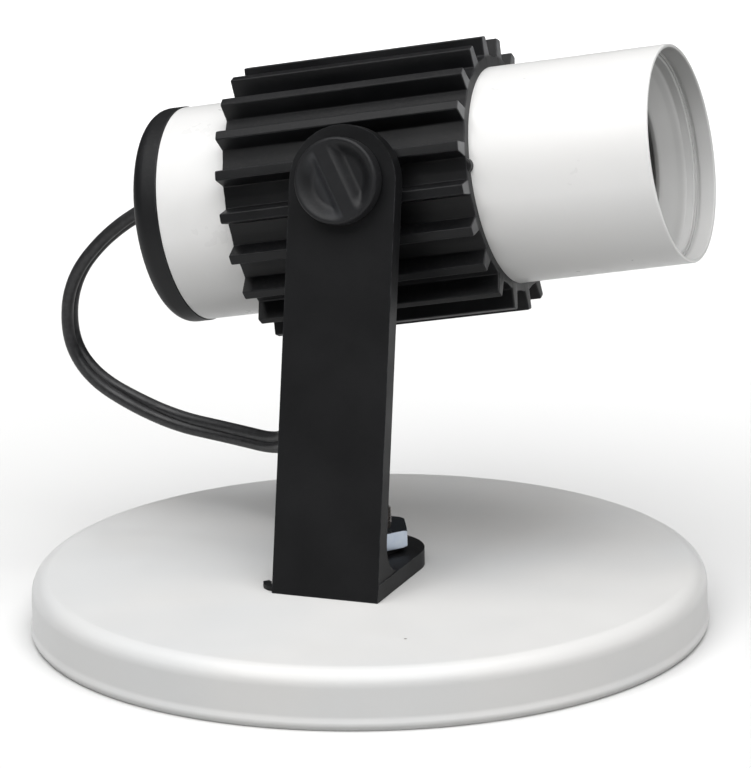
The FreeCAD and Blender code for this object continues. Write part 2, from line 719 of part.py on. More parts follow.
def front_shade():
    """White front tube: thin lip, plain band, fine step, opening on the mouth."""
    tube = rod(TUBE_R, SHADE_REAR, SHADE_FRONT)
    lip = edges_at(tube, lambda p, e: is_ring(e, TUBE_R) and p.x > SHADE_FRONT - 0.01)
    tube = tube.makeFillet(0.35, lip)
    inner = TUBE_R - SHADE_WALL
    step_x = SHADE_FRONT - BAND_DEPTH
    band = rod(inner, step_x, SHADE_FRONT + 1)
    groove = rod(inner + 0.25, step_x - 0.1, step_x + 0.5)
    deep = rod(inner - 0.5, SHADE_REAR - 1, step_x + 0.1)
    return tube.cut([band, groove, deep])


def reflector_insert():
    """White insert: soft shoulder, shallow cone to the throat, then the lamp's well."""
    outer = TUBE_R - SHADE_WALL - 0.5 - GAP
    front = SHADE_FRONT - BAND_DEPTH - 0.3
    shoulder = SHADE_FRONT - INSERT_DEPTH
    throat = SHADE_FRONT - THROAT_DEPTH
    well_top = HOLDER_FACE + 1.0
    well_bottom = well_top - WELL_WALL
    outline = [
        (front, outer), (front, outer - 0.6), (shoulder, outer - 0.9),
        (shoulder - 1.2, outer - 1.5), (shoulder - 2.1, outer - 2.6),
        (throat, THROAT_R), (throat - 1.2, THROAT_R), (throat - 2.6, THROAT_R + 2.0),
        (throat - 5.0, WELL_R), (well_top, WELL_R), (well_top, HOLDER_R + HOLDER_GRIP),
        (well_bottom, HOLDER_R + HOLDER_GRIP), (well_bottom, WELL_R + WELL_WALL),
        (throat - 5.2, WELL_R + WELL_WALL), (shoulder - 3.0, outer),
    ]
    return turned(outline)


def lamp_holder():
    """Ceramic twist-lock lamp holder at the bottom of the well."""
    body = rod(HOLDER_R, HOLDER_FACE - HOLDER_T, HOLDER_FACE)
    front = edges_at(body, lambda p, e: is_ring(e, HOLDER_R) and p.x > HOLDER_FACE - 0.01)
    body = body.makeFillet(HOLDER_EDGE_R, front)
    bottom = HOLDER_FACE - PIN_HOLE_DEPTH
    cuts = []
    for side in (-1, 1):
        y = side * PIN_SPACING / 2
        low_z = 0 if side > 0 else -PIN_TRACK
        cuts.append(rod(PIN_HOLE_R, bottom, HOLDER_FACE + 1, y, 0))
        track = Part.makeBox(PIN_HOLE_DEPTH + 1, PIN_TRACK_W, PIN_TRACK,
                             Vector(bottom, y - PIN_TRACK_W / 2, low_z))
        cuts.append(track)
    low = HOLDER_FACE - WAIST_FROM
    high = HOLDER_FACE - WAIST_TO
    waist = turned([(low, HOLDER_R + 1), (low, HOLDER_R - WAIST_DEPTH),
                    (high, HOLDER_R - WAIST_DEPTH), (high, HOLDER_R + 1)])
    cuts.append(waist)
    return body.cut(cuts)


def holder_contacts():
    """Spring contacts at the bottom of the two pin holes."""
    low = HOLDER_FACE - PIN_HOLE_DEPTH + GAP
    pads = []
    for side in (-1, 1):
        y = side * PIN_SPACING / 2
        pads.append(rod(CONTACT_R, low, low + CONTACT_T, y, 0))
    return Part.makeCompound(pads)


def holder_bracket():
    """Bent steel strap behind the holder, screwed to the tube above and below."""
    back = HOLDER_FACE - HOLDER_T
    span = TUBE_R - TUBE_WALL - 0.4
    half = STRAP_W / 2
    plate = Part.makeBox(STRAP_T, STRAP_W, 2 * span, Vector(back - STRAP_T, -half, -span))
    tabs = []
    for side in (-1, 1):
        z = side * span
        low_z = min(z, z - side * STRAP_T)
        tabs.append(Part.makeBox(STRAP_TAB, STRAP_W, STRAP_T, Vector(back - STRAP_TAB, -half, low_z)))
    strap = plate.fuse(tabs)
    strap = strap.common(rod(TUBE_R - TUBE_WALL - 0.1, back - 20, back + 5))
    holes = []
    for z in (-STRAP_SCREW_Z, STRAP_SCREW_Z):
        holes.append(rod(STRAP_SCREW_R + GAP, back - 3, back + 1, 0, z))
    return strap.cut(holes + strap_holes(1.0, 4)).removeSplitter()


def holder_screws():
    """Two screws through the strap into the holder."""
    back = HOLDER_FACE - HOLDER_T
    screws = []
    face = back - STRAP_T
    outer = face - STRAP_SCREW_HEAD_T
    for z in (-STRAP_SCREW_Z, STRAP_SCREW_Z):
        head = rod(STRAP_SCREW_HEAD_R, outer, face, 0, z)
        shank = rod(STRAP_SCREW_R, face, back, 0, z)
        slot = Part.makeBox(0.8, 5.2, 0.7, Vector(outer - 0.1, -2.6, z - 0.35))
        screws.append(head.fuse(shank).cut(slot))
    return Part.makeCompound(screws)


# ---------------------------------------------------------------- cord
def cord_path(points):
    """Straight runs joined by tangent arcs; prints each arc's radius."""
    nodes = [Vector(*p) for p in points]
    edges = []
    start = nodes[0]
    radii = []
    for before, corner, after in zip(nodes, nodes[1:], nodes[2:]):
        to_before = before - corner
        to_after = after - corner
        shorter = min(to_before.Length, to_after.Length)
        half_turn = (math.pi - to_before.getAngle(to_after)) / 2
        setback = 0.45 * shorter
        radius = setback / math.tan(half_turn)
        radii.append(round(radius, 1))
        to_before.normalize()
        to_after.normalize()
        arc_start = corner + to_before * setback
        arc_end = corner + to_after * setback
        inward = to_before + to_after
        inward.normalize()
        depth = radius / math.cos(half_turn) - radius
        arc_middle = corner + inward * depth
        edges.append(Part.LineSegment(start, arc_start).toShape())
        edges.append(Part.Arc(arc_start, arc_middle, arc_end).toShape())
        start = arc_end
    edges.append(Part.LineSegment(start, nodes[-1]).toShape())
    print("cord arc radii", radii)
    return Part.Wire(edges)


def lamp_cord():
    """Plain tube along the cord's route."""
    path = cord_path(CORD_POINTS)
    first = Vector(*CORD_POINTS[0])
    direction = Vector(*CORD_POINTS[1]) - first
    section = Part.Wire([Part.makeCircle(CORD_D / 2, first, direction)])
    tube = path.makePipeShell([section], True, True)
    expected = math.pi * (CORD_D / 2) ** 2 * path.Length
    print(f"cord length {path.Length:.1f} volume {tube.Volume:.0f} expected {expected:.0f}")
    return tube


# ---------------------------------------------------------------- write everything
def write_base():
    save("base_cover", base_cover())
    save("mounting_plate", mounting_plate())
    save("plate_posts", plate_posts())
    save("plate_screws", plate_screws())
    save("base_pad", base_pad())
    save("inlet_grommet", inlet_grommet())
    save("terminal_block", terminal_block())
    save("terminal_screws", terminal_screws())
    save("nipple", nipple())
    save("stiffener_washer", stiffener_washer())
    save("lower_nut", lower_nut())
    save("fibre_washer", fibre_washer())
    save("lock_nut", lock_nut())


def write_bracket():
    save("arm_bracket", arm_bracket())
    save("arm_washer", arm_washer(), ARM_FRAME)
    save("clamp_knob", clamp_knob(), KNOB_FRAME)
    save("knob_stud", knob_stud(), KNOB_FRAME)


def write_head():
    head_parts = [fin_sleeve, captive_nut, friction_washer, housing_tube, rear_cap, cap_screws,
                  cord_gland, front_shade, reflector_insert, lamp_holder, holder_contacts,
                  holder_bracket, holder_screws]
    for make in head_parts:
        save(make.__name__, make(), HEAD_FRAME)


write_base()
write_bracket()
write_head()
save("lamp_cord", lamp_cord())
print("pivot", [round(c, 2) for c in PIVOT], "head centre", [round(c, 2) for c in HEAD_CENTRE])
tilt_axis = LEAN.multVec(Vector(0, -1, 0))
print("tilt axis", [round(c, 5) for c in tilt_axis])
gland_face = HEAD_FRAME.multVec(Vector(TUBE_REAR - CAP_LENGTH - GLAND_OUT, 0, GLAND_RISE))
print("gland face", [round(c, 2) for c in gland_face])
mouth = HEAD_FRAME.multVec(Vector(SHADE_FRONT, 0, 0))
head_axis = HEAD_FRAME.Rotation.multVec(X_AXIS)
print("mouth", [round(c, 2) for c in mouth], "axis", [round(c, 5) for c in head_axis])
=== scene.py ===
"""Looks of the spot lamp on its round base: pieces, materials, studio and camera."""
import json
import math
import bmesh
import bpy
from mathutils import Matrix, Vector


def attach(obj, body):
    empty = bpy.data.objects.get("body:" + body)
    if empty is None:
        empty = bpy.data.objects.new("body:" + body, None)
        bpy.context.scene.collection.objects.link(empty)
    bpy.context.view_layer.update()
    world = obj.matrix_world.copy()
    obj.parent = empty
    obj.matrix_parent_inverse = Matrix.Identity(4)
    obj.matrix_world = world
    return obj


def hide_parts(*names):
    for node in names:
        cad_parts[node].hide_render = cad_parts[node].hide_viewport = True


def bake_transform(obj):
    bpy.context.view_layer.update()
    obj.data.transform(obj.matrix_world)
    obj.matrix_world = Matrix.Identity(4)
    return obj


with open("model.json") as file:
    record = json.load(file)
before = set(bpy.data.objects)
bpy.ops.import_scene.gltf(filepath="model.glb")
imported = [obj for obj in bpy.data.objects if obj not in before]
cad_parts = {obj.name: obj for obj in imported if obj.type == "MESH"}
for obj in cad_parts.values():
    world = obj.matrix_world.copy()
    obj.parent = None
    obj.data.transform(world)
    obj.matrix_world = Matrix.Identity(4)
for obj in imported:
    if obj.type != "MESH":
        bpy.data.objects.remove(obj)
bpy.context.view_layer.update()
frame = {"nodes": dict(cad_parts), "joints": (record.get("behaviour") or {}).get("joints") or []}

NODES = frame["nodes"]
JOINTS = {joint["name"]: joint for joint in frame["joints"]}

# ---------------------------------------------------------------- sizes, in millimetres
# one millimetre in metres
MM = 0.001
# gap between parts that fit into each other
FIT = 0.05

# round base
BASE_R = 94.6
BASE_H = 16.6
BASE_DRAFT = 0.3
BASE_WALL = 1.2
BASE_EDGE_R = 5.0
BEAD_H = 3.6
BEAD_OUT = 0.5

# nipple in the middle of the base
NIPPLE_R = 6.5
NIPPLE_HOLE_R = 6.7
NIPPLE_BORE_R = 4.9
NIPPLE_BOTTOM = 7.9
NIPPLE_TOP = 33.6
THREAD_PITCH = 1.0
THREAD_DEPTH = 0.45
THREAD_FADE = 0.9
NIPPLE_CHAMFER = 0.7

# how the arm leans and the head tilts
ARM_LEAN_BACK = 14.7
HEAD_TILT = 10.4
HEAD_OFFSET = 46.4

# clamp knob
KNOB_R = 12.0
KNOB_T = 5.0
KNOB_BACK = 0.85
KNOB_POCKET = 2.9
KNOB_BAR_ANGLE = 31.0
KNOB_BAR_HALF = 1.7
KNOB_FLANK = 3.2
KNOB_RIM = 0.8
KNOB_RIM_SLOPE = 4.2
STUD_HOLE_R = 3.2

# lamp head, along its own axis; 0 is level with the pivot
TUBE_R = 30.5
TUBE_WALL = 1.2
TUBE_REAR = -62.4
TUBE_FRONT = 20.0
CAP_LENGTH = 8.2
FIN_COUNT = 20
FIN_TIP_R = 38.8
FIN_ROOT_R = 33.5
FIN_TIP_W = 2.8
FIN_ROOT_W = 4.2
FIN_CHAMFER = 0.35
SLEEVE_REAR = -40.6
SLEEVE_FRONT = 31.7
SLEEVE_SLANT = 1.4
SLEEVE_RISE = 0.5
LUG_R = 2.2
LUG_Z = 1.3
LUG_OUT = 1.0
BOSS_R = 11.0
BOSS_END = 40.25
BOSS_HOLE_R = 3.1
SHADE_REAR = 21.0
SHADE_FRONT = 83.1
SHADE_WALL = 1.1
BAND_DEPTH = 5.3
INSERT_DEPTH = 8.0
THROAT_R = 21.5
THROAT_DEPTH = 13.7
GROOVE_DEPTH = 0.35
WALL_STEP = 0.5
WELL_R = 25.5
WELL_WALL = 1.2
HOLDER_FACE = 34.5
HOLDER_R = 16.0
GLAND_OUT = 5.9
GLAND_RISE = 3.6

# places along the head that the shade's pieces share
GROOVE = SHADE_FRONT - BAND_DEPTH
SHOULDER = SHADE_FRONT - INSERT_DEPTH
THROAT = SHADE_FRONT - THROAT_DEPTH

# flat twin cord
CORD_W = 6.2
CORD_T = 3.6

# route of the flat cord: out of the rear cap, round below the head, into the nipple
CORD_POINTS = [
    (-79.9, 37.8, 105.3),
    (-91.2, 36.3, 99.6),
    (-107.0, 35.0, 80.5),
    (-104.5, 34.0, 56.5),
    (-76.3, 32.0, 44.0),
    (-51.5, 28.0, 42.3),
    (-35.8, 21.0, 42.5),
    (-28.0, 13.0, 48.0),
    (-12.0, 5.5, 48.0),
    (0.0, 0.0, 35.5),
    (0.0, 0.0, 14.0),
]

# ---------------------------------------------------------------- frames
PIVOT = Vector(JOINTS["tilt"]["pos_m"])
LEAN = Matrix.Rotation(math.radians(-ARM_LEAN_BACK), 4, "X")
ARM_FRAME = Matrix.Translation(PIVOT) @ LEAN
HEAD_TURN = Matrix.Rotation(math.radians(-HEAD_TILT), 4, "Y")
HEAD_FRAME = ARM_FRAME @ Matrix.Translation((0, HEAD_OFFSET * MM, 0)) @ HEAD_TURN
HEAD_AXIS = tuple((HEAD_FRAME.to_3x3() @ Vector((1, 0, 0))).normalized())
HEAD_CENTRE = tuple(HEAD_FRAME.translation)
KNOB_TURN = Matrix.Rotation(math.radians(-KNOB_BAR_ANGLE), 4, "Y")
KNOB_FRAME = ARM_FRAME @ Matrix.Translation((0, -KNOB_BACK * MM, 0)) @ KNOB_TURN
KNOB_CENTRE = tuple(KNOB_FRAME.translation)
KNOB_LEFT = tuple((KNOB_FRAME.to_3x3() @ Vector((-1, 0, 0))).normalized())
KNOB_AXIS = tuple((KNOB_FRAME.to_3x3() @ Vector((0, 1, 0))).normalized())
BASE_FRAME = Matrix.Identity(4)


# ---------------------------------------------------------------- mesh helpers
def smooth_object(name, mesh, material, sharp_angle):
    """Object from a bmesh: smooth faces, edges over sharp_angle degrees kept sharp."""
    bmesh.ops.recalc_face_normals(mesh, faces=mesh.faces)
    data = bpy.data.meshes.new(name)
    mesh.to_mesh(data)
    mesh.free()
    for face in data.polygons:
        face.use_smooth = True
    data.set_sharp_from_angle(angle=math.radians(sharp_angle))
    data.materials.append(material)
    thing = bpy.data.objects.new(name, data)
    bpy.context.scene.collection.objects.link(thing)
    return thing


def finish_piece(name, mesh, body, material, stands_for=(), sharp_angle=32):
    """Object from a bmesh, its flat areas kept flat, riding on a body."""
    thing = smooth_object(name, mesh, material, sharp_angle)
    even = thing.modifiers.new("even_normals", "WEIGHTED_NORMAL")
    even.keep_sharp = True
    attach(thing, body)
    if stands_for:
        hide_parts(*stands_for)
    return thing


def rounded(corners, steps=5):
    """Closed outline through (a, b, radius) corners, each corner rounded by its radius."""
    outline = []
    for i, (a, b, radius) in enumerate(corners):
        corner = Vector((a, b))
        if radius <= 0:
            outline.append(corner)
            continue
        before = Vector(corners[i - 1][:2]) - corner
        after = Vector(corners[(i + 1) % len(corners)][:2]) - corner
        half = before.angle(after) / 2
        reach = min(radius / math.tan(half), before.length * 0.49, after.length * 0.49)
        bend = reach * math.tan(half)
        before.normalize()
        after.normalize()
        centre = corner + (before + after).normalized() * (bend / math.sin(half))
        start = corner + before * reach - centre
        end = corner + after * reach - centre
        for k in range(steps + 1):
            t = k / steps
            outline.append(centre + start.lerp(end, t).normalized() * bend)
    return outline


def ring_strip(mesh, rings, close_rings=True):
    """Quads between neighbouring rings of vertices; close_rings joins last to first."""
    count = len(rings[0])
    pairs = list(zip(rings, rings[1:]))
    if close_rings:
        pairs.append((rings[-1], rings[0]))
    for low, high in pairs:
        for i in range(count):
            j = (i + 1) % count
            mesh.faces.new((low[i], low[j], high[j], high[i]))


def lathe(outline, place, axis="X", steps=144):
    """bmesh of a closed (along, radius) outline in millimetres turned about an axis."""
    mesh = bmesh.new()
    rings = []
    for along, radius in outline:
        ring = []
        for k in range(steps):
            turn = 2 * math.pi * k / steps
            c = radius * math.cos(turn)
            s = radius * math.sin(turn)
            point = Vector((along, c, s)) if axis == "X" else Vector((c, s, along))
            ring.append(mesh.verts.new(place @ (point * MM)))
        rings.append(ring)
    ring_strip(mesh, rings)
    return mesh


def softened(node, width, segments):
    """bmesh copy of a CAD node with its sharp edges rounded to width millimetres."""
    same_place = 0.002 * MM
    flat_angle = math.radians(0.6)
    sharp_angle = math.radians(38)
    mesh = bmesh.new()
    mesh.from_mesh(NODES[node].data)
    bmesh.ops.remove_doubles(mesh, verts=mesh.verts, dist=same_place)
    bmesh.ops.dissolve_limit(mesh, angle_limit=flat_angle, verts=mesh.verts, edges=mesh.edges)
    sharp = []
    for edge in mesh.edges:
        if edge.is_manifold and edge.calc_face_angle(0) > sharp_angle:
            sharp.append(edge)
    bmesh.ops.bevel(mesh, geom=sharp, offset=width * MM, segments=segments, profile=0.5,
                    affect="EDGES", clamp_overlap=True)
    return mesh


def worked_copy(name, node, width, body, material, segments=2):
    """Piece that stands for a CAD node, with its edges rounded to width millimetres."""
    finish_piece(name, softened(node, width, segments), body, material, [node])


def blend_step(x):
    """0 below 0, 1 above 1, smooth between."""
    x = min(1.0, max(0.0, x))
    return x * x * (3 - 2 * x)


# ---------------------------------------------------------------- material helpers
class Recipe:
    """A material under construction: one Principled shader and the nodes that feed it."""

    def __init__(self, name, roughness, metallic=0.0):
        self.material = bpy.data.materials.new(name)
        self.material.use_nodes = True
        self.tree = self.material.node_tree
        self.shader = self.tree.nodes["Principled BSDF"]
        self.shader.inputs["Roughness"].default_value = roughness
        self.shader.inputs["Metallic"].default_value = metallic
        coordinates = self.tree.nodes.new("ShaderNodeTexCoord")
        self.place = coordinates.outputs["Object"]
        self.own_normal = coordinates.outputs["Normal"]
        self.relief = None

    def link(self, source, target):
        """Connects an output to an input."""
        self.tree.links.new(source, target)

    def noise(self, scale, detail=3.0, rough=0.55, stretch=None):
        """Noise value; scale is per metre, stretch scales the axes unevenly."""
        node = self.tree.nodes.new("ShaderNodeTexNoise")
        node.inputs["Scale"].default_value = scale
        node.inputs["Detail"].default_value = detail
        node.inputs["Roughness"].default_value = rough
        place = self.place
        if stretch is not None:
            mapping = self.tree.nodes.new("ShaderNodeMapping")
            mapping.inputs["Scale"].default_value = stretch
            self.link(place, mapping.inputs["Vector"])
            place = mapping.outputs["Vector"]
        self.link(place, node.inputs["Vector"])
        return node.outputs["Fac"]

    def specks(self, scale, size, share):
        """1 inside scattered round specks, 0 elsewhere; share of the cells hold one."""
        cells = self.tree.nodes.new("ShaderNodeTexVoronoi")
        cells.inputs["Scale"].default_value = scale
        self.link(self.place, cells.inputs["Vector"])
        dot = self.span(cells.outputs["Distance"], size * 0.6, size, 1, 0)
        split = self.tree.nodes.new("ShaderNodeSeparateColor")
        self.link(cells.outputs["Color"], split.inputs["Color"])
        chosen = self.math("LESS_THAN", split.outputs["Red"], share)
        return self.math("MULTIPLY", dot, chosen)

    def span(self, value, low, high, out_low, out_high):
        """Value mapped from low..high to out_low..out_high, clamped."""
        node = self.tree.nodes.new("ShaderNodeMapRange")
        node.clamp = True
        numbers = {"From Min": low, "From Max": high, "To Min": out_low, "To Max": out_high}
        for socket, number in numbers.items():
            node.inputs[socket].default_value = number
        self.link(value, node.inputs["Value"])
        return node.outputs["Result"]

    def math(self, operation, a, b):
        """Number from two numbers or nodes' outputs."""
        node = self.tree.nodes.new("ShaderNodeMath")
        node.operation = operation
        for socket, value in zip(node.inputs, (a, b)):
            if isinstance(value, (int, float)):
                socket.default_value = value
            else:
                self.link(value, socket)
        return node.outputs["Value"]

    def mix(self, factor, first, second):
        """Colour between first and second; each is a colour or a node's output."""
        node = self.tree.nodes.new("ShaderNodeMix")
        node.data_type = "RGBA"
        self.link(factor, node.inputs["Factor"])
        for socket, value in ((node.inputs[6], first), (node.inputs[7], second)):
            if isinstance(value, tuple):
                socket.default_value = (*value, 1.0)
            else:
                self.link(value, socket)
        return node.outputs[2]

    def edges(self, radius_mm, low=0.015, high=0.12):
        """1 on convex and concave edges about radius_mm wide, 0 on flat parts."""
        bevel = self.tree.nodes.new("ShaderNodeBevel")
        bevel.samples = 4
        bevel.inputs["Radius"].default_value = radius_mm * MM
        flat = self.tree.nodes.new("ShaderNodeNewGeometry")
        dot = self.vector("DOT_PRODUCT", bevel.outputs["Normal"])
        self.link(flat.outputs["Normal"], dot.inputs[1])
        return self.span(dot.outputs["Value"], 1 - high, 1 - low, 1, 0)

    def vector(self, operation, first, second=None):
        """Vector operation on a node's output and, if given, a fixed vector."""
        node = self.tree.nodes.new("ShaderNodeVectorMath")
        node.operation = operation
        self.link(first, node.inputs[0])
        if second is not None:
            node.inputs[1].default_value = second
        return node

    def upward(self):
        """How far the surface's normal points up, from -1 to 1."""
        geometry = self.tree.nodes.new("ShaderNodeNewGeometry")
        split = self.tree.nodes.new("ShaderNodeSeparateXYZ")
        self.link(geometry.outputs["Normal"], split.inputs["Vector"])
        return split.outputs["Z"]

    def facing_up(self):
        """1 where the surface faces up, 0 from level downwards."""
        return self.span(self.upward(), 0.2, 0.95, 0, 1)

    def facing_down(self, start):
        """1 where the surface faces the floor, falling to 0 where upward() is start."""
        return self.span(self.upward(), -0.95, start, 1, 0)

    def from_axis(self, origin, direction):
        """Distance in metres from the line through origin along direction."""
        shift = self.vector("SUBTRACT", self.place, origin)
        across = self.vector("CROSS_PRODUCT", shift.outputs["Vector"], direction)
        return self.vector("LENGTH", across.outputs["Vector"]).outputs["Value"]

    def along_axis(self, origin, direction):
        """Distance in metres along direction from origin."""
        shift = self.vector("SUBTRACT", self.place, origin)
        return self.vector("DOT_PRODUCT", shift.outputs["Vector"], direction).outputs["Value"]

    def height_above(self):
        """Height in metres of the surface above the floor, with the lamp at rest."""
        split = self.tree.nodes.new("ShaderNodeSeparateXYZ")
        self.link(self.place, split.inputs["Vector"])
        return split.outputs["Z"]

    def facing(self, direction, low=0.85, high=0.95):
        """1 where the piece's own surface faces along direction, 0 elsewhere."""
        dot = self.vector("DOT_PRODUCT", self.own_normal, direction)
        return self.span(dot.outputs["Value"], low, high, 0, 1)

    def bump(self, height, depth_mm, strength=1.0):
        """Adds one layer of relief."""
        node = self.tree.nodes.new("ShaderNodeBump")
        node.inputs["Distance"].default_value = depth_mm * MM
        node.inputs["Strength"].default_value = strength
        self.link(height, node.inputs["Height"])
        if self.relief is not None:
            self.link(self.relief, node.inputs["Normal"])
        self.relief = node.outputs["Normal"]

    def done(self, colour, roughness=None):
        """Connects colour, roughness and relief to the shader; returns the material."""
        if isinstance(colour, tuple):
            self.shader.inputs["Base Color"].default_value = (*colour, 1.0)
        else:
            self.link(colour, self.shader.inputs["Base Color"])
        if roughness is not None:
            self.link(roughness, self.shader.inputs["Roughness"])
        if self.relief is not None:
            self.link(self.relief, self.shader.inputs["Normal"])
        return self.material


# ---------------------------------------------------------------- materials
MOULDING_SPECULAR = 0.26
RUBBED_BLACK = (0.055, 0.057, 0.061)
# paler black of the painted reflection beside the knob's bar
BAR_SHEEN_BLACK = (0.055, 0.057, 0.062)
# pale grey of the painted highlight on the fins' ends
END_HIGHLIGHT_GREY = (0.15, 0.152, 0.157)
DUST = (0.20, 0.19, 0.18)
HANDLED_WHITE = (0.55, 0.54, 0.51)
SPECK_BROWN = (0.16, 0.14, 0.12)
# grey of painted shade
PAINTED_SHADE_GREY = (0.22, 0.22, 0.215)
# dark tone mixed onto the plating's level tops
DARK_TOP = (0.045, 0.058, 0.080)

# heights in metres over which the fins' ends go from painted shade (black) to a painted highlight (pale)
FIN_SHADE_HEIGHT = 0.095
FIN_LIGHT_HEIGHT = 0.125


def painted_end_highlight(recipe, colour, rubbed, direction):
    """Colour with a painted highlight on the fins' ends square to direction, fading to painted shade below.
    """
    core = FIN_ROOT_R * MM
    uneven = recipe.span(rubbed, 0.3, 0.7, 0.7, 1.0)
    highlight = recipe.math("MULTIPLY", recipe.facing(direction), uneven)
    on_fin = recipe.span(recipe.from_axis(HEAD_CENTRE, direction), core, core * 1.02, 0.12, 1.0)
    lit_above = recipe.span(recipe.height_above(), FIN_SHADE_HEIGHT, FIN_LIGHT_HEIGHT, 0.1, 1.0)
    highlight = recipe.math("MULTIPLY", highlight, recipe.math("MULTIPLY", on_fin, lit_above))
    return recipe.mix(highlight, colour, END_HIGHLIGHT_GREY)


def painted_bar_sheen(recipe, colour):
    """Colour with a painted reflection: a paler strip on one side of the knob's bar."""
    aside = recipe.along_axis(KNOB_CENTRE, KNOB_LEFT)
    starts = recipe.span(aside, 1.8 * MM, 2.5 * MM, 0, 1)
    fades = recipe.span(aside, 4.2 * MM, 7.5 * MM, 1, 0)
    strip = recipe.math("MULTIPLY", starts, fades)
    outwards = recipe.from_axis(KNOB_CENTRE, KNOB_AXIS)
    within = recipe.span(outwards, (KNOB_R - 2.4) * MM, (KNOB_R - 1.2) * MM, 0.5, 0)
    return recipe.mix(recipe.math("MULTIPLY", strip, within), colour, BAR_SHEEN_BLACK)


def black_moulding(name, dark, light, smooth, rough, highlit_ends=None, bar_sheen=False):
    """Satin black moulding: fine grain, cloudy sheen, dust on top, edges rubbed lighter.

    highlit_ends is the direction of the ends that get a painted highlight; bar_sheen is for the knob's
    painted reflection beside its bar."""
    recipe = Recipe(name, rough)
    recipe.shader.inputs["Specular IOR Level"].default_value = MOULDING_SPECULAR
    clouds = recipe.noise(45, 3)
    grain = recipe.noise(2600, 2, 0.6)
    rubbed = recipe.noise(320, 4, 0.65)
    colour = recipe.mix(recipe.span(clouds, 0.35, 0.65, 0, 1), dark, light)
    wear = recipe.math("MULTIPLY", recipe.edges(0.5), recipe.span(rubbed, 0.42, 0.62, 0, 0.6))
    colour = recipe.mix(wear, colour, RUBBED_BLACK)
    settled = recipe.span(recipe.noise(900, 5, 0.7), 0.5, 0.75, 0, 0.07)
    dust = recipe.math("MULTIPLY", recipe.facing_up(), settled)
    colour = recipe.mix(dust, colour, DUST)
    # painted highlight on the fins' ends, painted shade on the lower ones
    if highlit_ends is not None:
        colour = painted_end_highlight(recipe, colour, rubbed, highlit_ends)
    # painted reflection beside the knob's bar
    if bar_sheen:
        colour = painted_bar_sheen(recipe, colour)
    gloss = recipe.span(clouds, 0.3, 0.7, smooth, rough)
    recipe.bump(grain, 0.035, 0.6)
    recipe.bump(rubbed, 0.05, 0.15)
    return recipe.done(colour, gloss)


def white_paint(name, cool, warm, smooth, rough, peel_mm, shade_stretches=(), grey=0.6, grey_from=-0.05):
    """White finish: faint orange peel, slight tone changes, a few specks, and painted shade that greys it
    underneath.

    shade_stretches gives stretches (from, to, share) along the head's axis, in millimetres, that
    painted shade greys. grey is the share of painted shade underneath, grey_from the normal's
    height where it begins."""
    recipe = Recipe(name, rough)
    tone = recipe.noise(18, 2)
    peel = recipe.noise(520, 2, 0.5)
    colour = recipe.mix(recipe.span(tone, 0.35, 0.65, 0, 1), cool, warm)
    handling = recipe.span(recipe.noise(24, 2, 0.5), 0.45, 0.9, 0, 0.02)
    colour = recipe.mix(handling, colour, HANDLED_WHITE)
    colour = recipe.mix(recipe.specks(60, 0.03, 0.05), colour, SPECK_BROWN)
    # painted shade underneath
    under = recipe.math("MULTIPLY", recipe.facing_down(grey_from), grey)
    colour = recipe.mix(under, colour, PAINTED_SHADE_GREY)
    fade = 0.7 * MM
    # painted shade along stretches of the head's axis
    for low, high, share in shade_stretches:
        depth = recipe.along_axis(HEAD_CENTRE, HEAD_AXIS)
        above = recipe.span(depth, low * MM - fade, low * MM + fade, 0, share)
        below = recipe.span(depth, high * MM - fade, high * MM + fade, 1, 0)
        colour = recipe.mix(recipe.math("MULTIPLY", above, below), colour, PAINTED_SHADE_GREY)
    gloss = recipe.span(recipe.noise(60, 4, 0.6), 0.3, 0.7, smooth, rough)
    recipe.bump(peel, peel_mm, 0.5)
    return recipe.done(colour, gloss)


def zinc_plate(name, cool, warm):
    """Zinc plating with a faint swirl and fine scratches, darker on level tops."""
    recipe = Recipe(name, 0.3, 1.0)
    swirl = recipe.noise(160, 4, 0.6)
    scratches = recipe.noise(2200, 2, 0.5, (1.0, 1.0, 0.12))
    colour = recipe.mix(recipe.span(swirl, 0.35, 0.65, 0, 1), cool, warm)
    # level tops darker
    top_dark = recipe.span(recipe.facing_up(), 0.6, 1.0, 0, 0.9)
    colour = recipe.mix(top_dark, colour, DARK_TOP)
    gloss = recipe.span(swirl, 0.3, 0.7, 0.24, 0.42)
    recipe.bump(scratches, 0.02, 0.35)
    return recipe.done(colour, gloss)


def rolled_steel():
    """Plain rolled steel with a drawn grain."""
    recipe = Recipe("rolled_steel", 0.4, 1.0)
    grain = recipe.noise(900, 4, 0.6, (0.05, 1.0, 1.0))
    colour = recipe.mix(recipe.span(grain, 0.3, 0.7, 0, 1), (0.38, 0.38, 0.39), (0.56, 0.56, 0.57))
    recipe.bump(grain, 0.02, 0.4)
    return recipe.done(colour, recipe.span(grain, 0.3, 0.7, 0.32, 0.5))


def black_rubber():
    """Matt black rubber with a dusty grain."""
    recipe = Recipe("black_rubber", 0.8)
    grain = recipe.noise(1500, 4, 0.6)
    colour = recipe.mix(recipe.span(grain, 0.4, 0.7, 0, 1), (0.012, 0.012, 0.012), (0.0228, 0.0228, 0.0228))
    recipe.bump(grain, 0.05, 0.5)
    return recipe.done(colour, recipe.span(grain, 0.3, 0.7, 0.68, 0.88))


def cord_sheath():
    """Soft satin sheath of the flat cord, with handling marks."""
    recipe = Recipe("cord_sheath", 0.45)
    marks = recipe.noise(700, 4, 0.6)
    colour = recipe.mix(recipe.span(marks, 0.4, 0.7, 0, 1), (0.012, 0.012, 0.013), (0.026, 0.026, 0.028))
    recipe.bump(marks, 0.03, 0.4)
    return recipe.done(colour, recipe.span(recipe.noise(120, 3), 0.35, 0.65, 0.36, 0.52))


